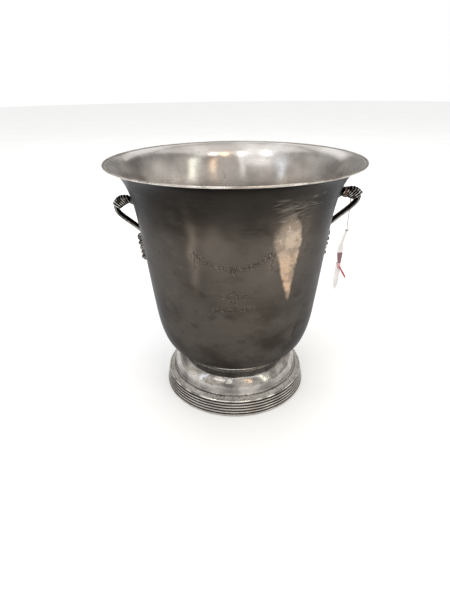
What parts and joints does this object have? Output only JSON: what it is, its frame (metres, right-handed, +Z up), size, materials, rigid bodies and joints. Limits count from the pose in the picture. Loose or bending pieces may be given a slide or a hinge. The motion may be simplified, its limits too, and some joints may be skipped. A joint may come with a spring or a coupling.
{
  "type": "footed champagne bucket",
  "caption": "Footed, silver-plated champagne bucket: bell-shaped bowl with a flared lip, spreading reeded foot, cast strap handles and a swing ticket on a thread.",
  "frame": {"origin": "centre of the bottom of the foot, on the surface that the bucket stands on", "axes": "+Z up along the axis of the bowl, +X towards the handle with the ticket, +Y away from the viewer"},
  "size_m": [0.2435, 0.24, 0.242],
  "materials": {
    "tarnished_silver": "silver plate over brass, spun, tarnished satin",
    "polished_silver": "silver plate over brass, polished",
    "dark_silver": "silver plate over cast brass, oxidised in the hollows",
    "plain_brass": "bare turned brass, dull",
    "thread": "thin cotton thread",
    "white_paper": "matte card with a printed coloured band",
    "red_paper": "matte coloured paper strip"
  },
  "bodies": {
    "bucket": {"bowl": "tarnished_silver", "rim_wire": "polished_silver", "foot_collar": "polished_silver", "foot_dome": "polished_silver", "reeded_ring": "polished_silver", "centre_stud": "plain_brass", "spreader_washer": "plain_brass", "centre_nut": "plain_brass", "handle_right": "dark_silver", "bead_drop_right": "dark_silver", "handle_left": "dark_silver", "bead_drop_left": "dark_silver"},
    "ticket": {"ticket_thread": "thread", "ticket_card": "white_paper", "ticket_stub": "white_paper", "ticket_ribbon": "red_paper"}
  },
  "joints": [
    {"name": "ticket_swing", "type": "hinge", "parent": "bucket", "child": "ticket", "pos_m": [0.116, 0.0076, 0.201], "axis": [0, -1, 0], "range_deg": [-6, 60]}
  ]
}
